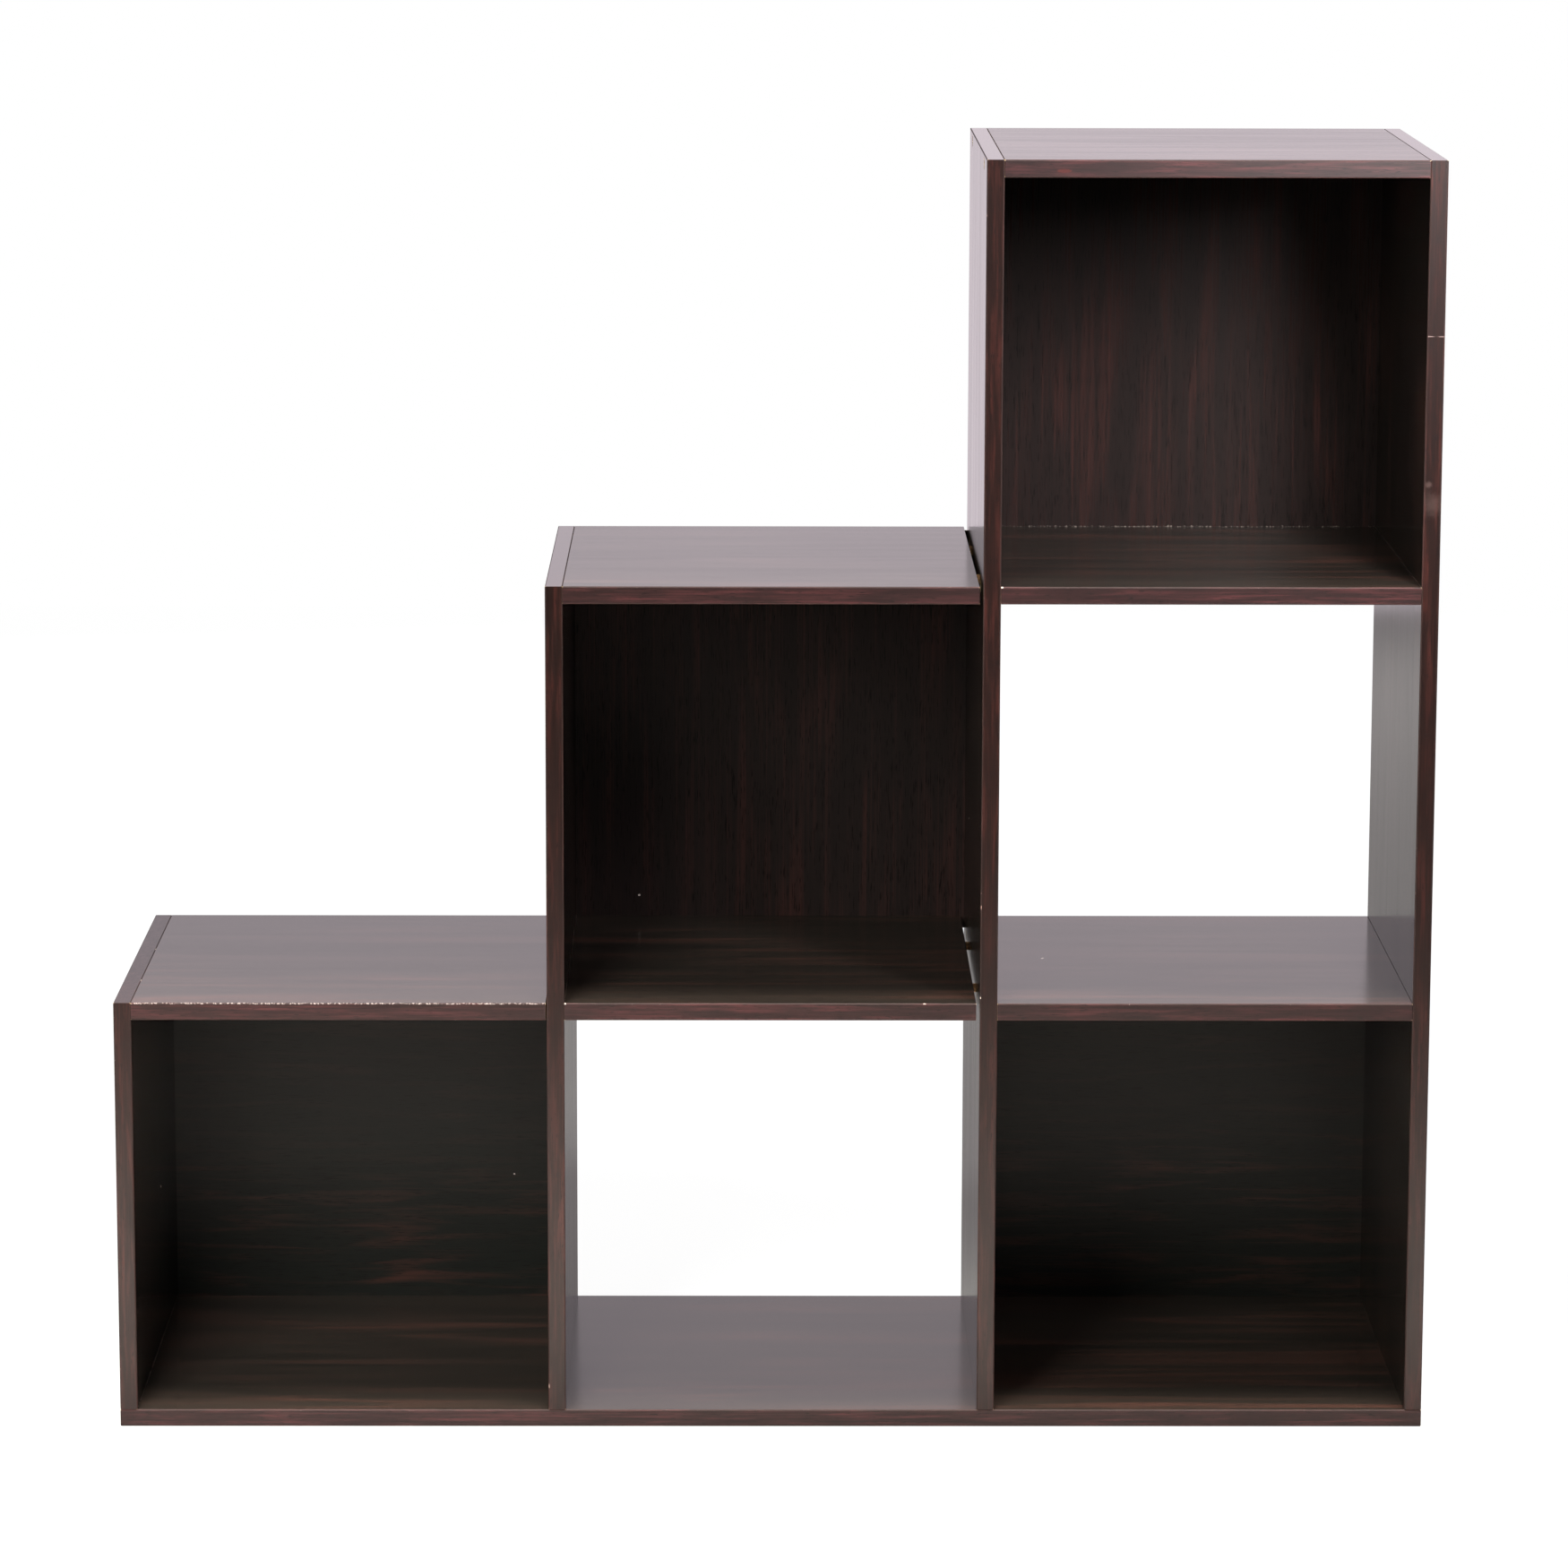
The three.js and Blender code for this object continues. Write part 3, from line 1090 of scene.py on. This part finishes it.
@dataclass
class Backs:
    """The four backs. The other two cubes are open."""

    def panels(self) -> list[BackPanel]:
        """Lists the panels, with the pale specks and the painted glint along a seam that the photograph
        shows.

        Returns:
            The panels, ready to be built.
        """
        return [
            BackPanel(
                "back_left_lower",
                Grain.ACROSS,
                gloss=0.25,
                figured_below=85 * MM,
                marks=(Mark((255.1, 0.0, 101.9), (1.2, 0.5, 1.0)),),
            ),
            BackPanel(
                "back_right_lower",
                Grain.ACROSS,
                gloss=0.19,
                figured_below=110 * MM,
                marks=(Mark((14.9, 0.0, 127.0), (1.5, 0.5, 1.7)),),
            ),
            BackPanel(
                "back_middle_upper",
                Grain.UPWARDS,
                gloss=0.22,
                marks=(Mark((51.7, 0.0, 24.3), (1.6, 0.5, 1.4)),),
            ),
            BackPanel(
                "back_right_upper",
                Grain.UPWARDS,
                gloss=0.26,
                roughness=0.28,
                marks=(
                    Mark((10.5, 0.0, 181.7), (1.9, 0.5, 1.8)),
                    # painted glint: a pale broken line along the joint at the panel's foot
                    painted_glint_seam((131.6, 0.0, 9.2), (340.0, 0.8, 1.6)),
                ),
            ),
        ]

    def build(self, workshop: Workshop) -> None:
        """Makes all the backs."""
        for panel in self.panels():
            panel.build(workshop)


@dataclass
class Screw:
    """A countersunk chipboard screw along +Z, with a cross recess and a coarse thread.

    Its head, neck, core and crest are radii.
    """

    length: float
    head: float = 4.0 * MM
    rim: float = 0.5 * MM
    neck: float = 2.0 * MM
    neck_end: float = 10.0 * MM
    neck_taper: float = 1.0 * MM
    core: float = 1.3 * MM
    crest: float = 2.0 * MM
    pitch: float = 1.8 * MM
    thread_start: float = 11.0 * MM
    thread_half: float = 0.45 * MM
    thread_sunk: float = 0.15 * MM
    tip: float = 5.0 * MM
    recess_reach: float = 2.2 * MM
    recess_arm: float = 0.6 * MM
    recess_depth: float = 1.6 * MM
    recess_taper: float = 0.5
    sides: int = 24
    thread_sides: int = 10

    def body(self, shape: Shape) -> None:
        """Turns the head, the neck, the core and the point, and leaves the head's top open.

        Args:
            shape: The screw's mesh.
        """
        outline = (
            (self.head, 0.0),
            (self.head, self.rim),
            (self.neck, self.rim + self.head - self.neck),
            (self.neck, self.neck_end - self.neck_taper),
            (self.core, self.neck_end),
            (self.core, self.length - self.tip),
            (0.0, self.length),
        )
        turn(shape, outline, self.sides)

    def recess(self, shape: Shape) -> None:
        """Closes the head's top round a cross-shaped recess that narrows towards its floor.

        Args:
            shape: The screw's mesh.
        """
        rim = [edge for edge in shape.edges if edge.is_boundary]
        reach, arm = self.recess_reach, self.recess_arm
        corners = []
        for quarter in range(4):
            quarter_turn = Matrix.Rotation(quarter * pi / 2, 3, "Z")
            for corner in ((reach, -arm), (reach, arm), (arm, arm)):
                corners.append(shape.verts.new(quarter_turn @ Vector((*corner, 0))))
        cross = [shape.edges.new(pair) for pair in zip(corners, corners[1:] + corners[:1])]
        bmesh.ops.triangle_fill(shape, edges=[*rim, *cross], use_beauty=True)
        walls = bmesh.ops.extrude_edge_only(shape, edges=cross)["geom"]
        floor = [item for item in walls if isinstance(item, bmesh.types.BMVert)]
        bmesh.ops.scale(shape, verts=floor, vec=(self.recess_taper, self.recess_taper, 1))
        bmesh.ops.translate(shape, verts=floor, vec=(0, 0, self.recess_depth))
        edges = [item for item in walls if isinstance(item, bmesh.types.BMEdge)]
        bmesh.ops.contextual_create(shape, geom=[edge for edge in edges if edge.is_boundary])

    def thread(self, shape: Shape) -> None:
        """Winds the thread round the core as a closed ridge of its own.

        Args:
            shape: The screw's mesh.
        """
        start, root = self.thread_start, self.core - self.thread_sunk
        ridge = [
            shape.verts.new((root, 0, start - self.thread_half)),
            shape.verts.new((self.crest, 0, start)),
            shape.verts.new((root, 0, start + self.thread_half)),
        ]
        turns = (self.length - self.tip - start) / self.pitch
        steps = round(turns * self.thread_sides)
        bmesh.ops.spin(
            shape,
            geom=[*ridge, shape.faces.new(ridge)],
            cent=(0, 0, 0),
            axis=(0, 0, 1),
            dvec=(0, 0, self.pitch / self.thread_sides),
            angle=steps * 2 * pi / self.thread_sides,
            steps=steps,
        )

    def build(self) -> Shape:
        """Makes the whole screw.

        Returns:
            Its mesh, with the head's top at the origin.
        """
        shape = bmesh.new()
        self.body(shape)
        self.recess(shape)
        self.thread(shape)
        bmesh.ops.recalc_face_normals(shape, faces=shape.faces)
        return shape


@dataclass
class Dowel:
    """A multi-groove beech dowel along +Z, with chamfered ends. Its crest is a radius."""

    length: float
    crest: float = 3.0 * MM
    flute: float = 0.35 * MM
    chamfer: float = 0.8 * MM
    flutes: int = 16

    SAME_WAY = 0.9999  # the cosine above which a point lies in a groove

    def build(self) -> Shape:
        """Makes the dowel, section by section from its first end cap.

        Returns:
            Its mesh, with the first end at the origin.
        """
        shape = bmesh.new()
        ring = bmesh.ops.create_circle(
            shape, cap_ends=True, radius=self.crest - self.chamfer, segments=3 * self.flutes
        )["verts"]
        sections = (
            (self.chamfer, self.crest, self.flute),
            (self.length - self.chamfer, self.crest, self.flute),
            (self.length, self.crest - self.chamfer, 0.0),
        )
        groove_ways = [vert.co.xy.normalized() for vert in ring[::3]]
        face = first_cap = next(iter(shape.faces))
        for height, radius, flute in sections:
            made = bmesh.ops.extrude_face_region(shape, geom=[face])["geom"]
            if face is not first_cap:  # it would stay inside the dowel
                bmesh.ops.delete(shape, geom=[face], context="FACES_ONLY")
            face = next(item for item in made if isinstance(item, bmesh.types.BMFace))
            for vert in face.verts:
                way = vert.co.xy.normalized()
                in_groove = any(way.dot(groove) > self.SAME_WAY for groove in groove_ways)
                reach = radius - (flute if in_groove else 0.0)
                vert.co = Vector((way.x * reach, way.y * reach, height))
        bmesh.ops.recalc_face_normals(shape, faces=shape.faces)
        return shape


@dataclass
class Fasteners:
    """The screws and dowels that join the boards, each in the place of its CAD node."""

    def place(self, node: str) -> tuple[Matrix, float]:
        """Gives where a fastener goes and how long it is.

        Args:
            node: The CAD node's name.

        Returns:
            The place of its start, with +Z turned along it, and its length.
        """
        low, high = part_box(node)
        middle, size = (low + high) / 2, high - low
        if size.z > size.x:
            return Matrix.Translation((middle.x, middle.y, low.z)), size.z
        driven_left = "_right_screw_" in node
        start = Vector((high.x if driven_left else low.x, middle.y, middle.z))
        quarter = -pi / 2 if driven_left else pi / 2
        return Matrix.Translation(start) @ Matrix.Rotation(quarter, 4, "Y"), size.x

    def build(self, workshop: Workshop) -> None:
        """Makes the fasteners and dresses them.

        Args:
            workshop: The workshop that finishes them.
        """
        screw_steel = PlatedSteel("zinc_plated_screw", "#7b7772", "#4f4b48", 0.38)
        for node in sorted(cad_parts):
            if "_screw_" in node:
                kind, finish, slot = Screw, screw_steel, Slot.STEEL
            elif "_dowel_" in node:
                kind, finish, slot = Dowel, TurnedBeech(), Slot.BEECH
            else:
                continue
            pose, length = self.place(node)
            shape = kind(length).build()
            bmesh.ops.transform(shape, matrix=pose, verts=shape.verts)
            workshop.deliver(node, shape, (finish,), [node])


def mirror_ray(tree: Tree) -> Any:
    """Gives 1 for a ray that was mirrored or went through glass, and 0 for any other.

    Args:
        tree: The node tree that gets the nodes.

    Returns:
        The output of that number.
    """
    path = add_node(tree, "LightPath").outputs
    rays = {0: path["Is Glossy Ray"], 1: path["Is Transmission Ray"]}
    return add_node(tree, "Math", rays, operation="MAXIMUM").outputs[0]


@dataclass(frozen=True)
class SoftLamp:
    """A rectangular soft lamp, turned to a target. Its spread and its slant are in degrees."""

    name: str
    power: float
    size: tuple[float, float]
    place: Point
    target: Point
    spread: float = 180.0
    slant: float = 0.0
    tone: str = "#ffffff"
    mirrored: bool = True

    def hang(self) -> None:
        """Hangs the lamp, out of the camera's sight."""
        light = bpy.data.lights.new(self.name, "AREA")
        light.shape = "RECTANGLE"
        light.size, light.size_y = self.size
        light.energy = self.power
        light.spread = radians(self.spread)
        light.color = linear(self.tone)[:3]
        hung = bpy.data.objects.new(self.name, light)
        hung.visible_camera = False
        hung.visible_glossy = self.mirrored
        hung.location = self.place
        aim = (Vector(self.target) - Vector(self.place)).to_track_quat("-Z", "Y").to_matrix()
        hung.rotation_euler = (aim @ Matrix.Rotation(radians(self.slant), 3, "Z")).to_euler()
        bpy.context.scene.collection.objects.link(hung)


@dataclass
class Studio:
    """The white studio: floor, surroundings, lamps and the photograph's viewpoint."""

    floor_reach: float = 30.0
    floor_rear: float = 3.5
    floor_gap: float = 0.2 * MM
    floor_tone: str = "#c3bebc"
    shadow_tone: str = "#808080"
    floor_white: float = 0.93
    floor_sheen: float = 0.1
    flag_tone: str = "#202020"
    flag_front: float = -4.2
    flag_gap: float = 1 * MM
    flag_width: float = 8.0
    flag_depth: float = 2.6
    flag_height: float = 3.0
    sheen_tone: str = "#fff2fa"
    dim_level: float = 0.27
    lens: float = 131.5
    sensor: float = 36.0
    shift_up: float = -0.05
    sight: float = 200.0
    eye: Point = (-19.8 * MM, -3964.8 * MM, 1175.9 * MM)
    yaw: float = radians(0.412)
    tilt: float = radians(9.939)
    roll: float = radians(-0.139)

    def surroundings(self) -> None:
        """Makes the world: white where it is seen, and a plain dim light from all round."""
        world = bpy.data.worlds.new("white_studio")
        world.use_nodes = True
        tree = world.node_tree
        tree.nodes.clear()
        path = add_node(tree, "LightPath").outputs
        dim = add_node(tree, "Background", {0: linear("#ffffff"), 1: self.dim_level}).outputs[0]
        sheen = add_node(tree, "Background", {0: linear(self.sheen_tone), 1: 1.0}).outputs[0]
        white = add_node(tree, "Background", {0: linear("#ffffff"), 1: 1.0}).outputs[0]
        mirrored = add_node(tree, "MixShader", {0: mirror_ray(tree), 1: dim, 2: sheen}).outputs[0]
        both = add_node(
            tree, "MixShader", {0: path["Is Camera Ray"], 1: mirrored, 2: white}
        ).outputs[0]
        add_node(tree, "OutputWorld", {0: both})
        bpy.context.scene.world = world

    def floor_finish(self) -> Material:
        """Makes the floor's pale paint, whitened for the camera so that the shadow stays faint.

        Returns:
            The floor's material.
        """
        material = bpy.data.materials.new("pale_floor_paint")
        material.use_nodes = True
        tree = material.node_tree
        tree.nodes.clear()
        paint = add_node(tree, "BsdfDiffuse", {0: linear(self.floor_tone)}).outputs[0]
        faint = add_node(tree, "BsdfDiffuse", {0: linear(self.shadow_tone)}).outputs[0]
        white = add_node(tree, "Emission", {0: linear("#ffffff"), 1: self.floor_white}).outputs[0]
        sheen = add_node(tree, "Emission", {0: linear(self.sheen_tone), 1: self.floor_sheen}).outputs[0]
        path = add_node(tree, "LightPath").outputs
        glossed = add_node(tree, "AddShader", {0: paint, 1: sheen}).outputs[0]
        mirrored = add_node(
            tree, "MixShader", {0: mirror_ray(tree), 1: paint, 2: glossed}
        ).outputs[0]
        whitened = add_node(tree, "AddShader", {0: faint, 1: white}).outputs[0]
        both = add_node(
            tree, "MixShader", {0: path["Is Camera Ray"], 1: mirrored, 2: whitened}
        ).outputs[0]
        add_node(tree, "OutputMaterial", {0: both})
        return material

    def lay(
        self, name: str, finish: Material, corner: Vector, along: Vector, across: Vector
    ) -> bpy.types.Object:
        """Sets up a flat sheet of the stage.

        Args:
            name: The sheet's name.
            finish: Its material.
            corner: One of its corners.
            along: The side that starts there.
            across: The other side that starts there.

        Returns:
            The sheet.
        """
        shape = bmesh.new()
        turned = Matrix((along, across, along.cross(across))).transposed().to_4x4()
        place = Matrix.Translation(corner + (along + across) / 2) @ turned
        bmesh.ops.create_grid(shape, x_segments=1, y_segments=1, size=0.5, matrix=place)
        mesh = bpy.data.meshes.new(name)
        shape.to_mesh(mesh)
        shape.free()
        mesh.materials.append(finish)
        laid = bpy.data.objects.new(name, mesh)
        bpy.context.scene.collection.objects.link(laid)
        return laid

    def floor(self) -> None:
        """Lays the floor just under the bottom board."""
        reach = self.floor_reach
        self.lay(
            "studio_floor",
            self.floor_finish(),
            Vector((-reach, -reach, -self.floor_gap)),
            Vector((2 * reach, 0, 0)),
            Vector((0, reach + self.floor_rear, 0)),
        )

    def flags(self) -> None:
        """Sets up dark sheets before the shelf, seen only in reflections, one flat and one standing:
        painted shade in the mirrored studio.

        The photograph's studio was dark there: the upright edges and the backs mirror it.
        """
        dark = {"Base Color": linear(self.flag_tone), "Roughness": 1.0, "Specular IOR Level": 0.0}
        material = new_material("dark_reflection_sheet", dark)[0]
        corner = Vector((-self.flag_width / 2, self.flag_front, self.flag_gap))
        along = Vector((self.flag_width, 0, 0))
        flags = {
            "flat_flag": Vector((0, self.flag_depth, 0)),
            "standing_flag": Vector((0, 0, self.flag_height)),
        }
        for name, across in flags.items():
            # dark sheets seen only in reflections: painted shade
            shade_sheet = self.lay(name, material, corner, along, across)
            shade_sheet.visible_camera = False
            shade_sheet.visible_diffuse = False

    def lamps(self) -> list[SoftLamp]:
        """Lists the lamps: the key, two fills, one over the floor and one behind the shelf.

        Returns:
            The lamps, ready to be hung.
        """
        return [
            SoftLamp(
                name="key_strip",
                power=3.6,
                size=(0.15, 0.45),
                place=(0.58, -0.85, 1.17),
                target=(0.3, 0.1, 0.75),
                spread=60,
                slant=20,
            ),
            SoftLamp(
                name="fill_lamp",
                power=9.2,
                size=(0.8, 0.8),
                place=(-0.8, -1.7, 1.2),
                target=(-0.3, 0.0, 0.15),
                spread=70,
                tone="#f8fff8",
                mirrored=False,
            ),
            SoftLamp(
                name="low_fill_lamp",
                power=0.2,
                size=(0.3, 0.2),
                place=(-0.42, -0.92, 0.87),
                target=(-0.3, 0.05, 0.0),
                spread=22,
                mirrored=False,
            ),
            SoftLamp(
                name="floor_lamp",
                power=40.0,
                size=(2.2, 0.8),
                place=(-0.25, -0.6, 1.35),
                target=(-0.25, -0.6, 0.0),
                spread=30,
                tone="#fff9ee",
            ),
            SoftLamp(
                name="rear_lamp",
                power=15.0,
                size=(1.2, 0.8),
                place=(-0.5, 3.2, 0.9),
                target=(0.0, 0.0, 0.45),
                mirrored=False,
            ),
        ]

    def camera(self) -> None:
        """Sets up the photograph's viewpoint."""
        data = bpy.data.cameras.new("viewpoint")
        data.lens = self.lens
        data.sensor_width = self.sensor
        data.shift_y = self.shift_up
        data.clip_end = self.sight
        viewer = bpy.data.objects.new("viewpoint", data)
        viewer.matrix_world = (
            Matrix.Translation(self.eye)
            @ Matrix.Rotation(-self.yaw, 4, "Z")
            @ Matrix.Rotation(pi / 2 - self.tilt, 4, "X")
            @ Matrix.Rotation(-self.roll, 4, "Z")
        )
        bpy.context.scene.collection.objects.link(viewer)
        bpy.context.scene.camera = viewer

    def build(self) -> None:
        """Makes the studio."""
        self.surroundings()
        self.floor()
        self.flags()
        for lamp in self.lamps():
            lamp.hang()
        self.camera()
        bpy.context.scene.view_settings.view_transform = "Standard"


def main() -> None:
    """Builds the bookshelf and its studio."""
    logging.basicConfig(level=logging.INFO, format="%(name)s: %(message)s")
    workshop = Workshop()
    Carcass().build(workshop)
    Backs().build(workshop)
    Fasteners().build(workshop)
    Studio().build()


if __name__ == "__main__":
    main()
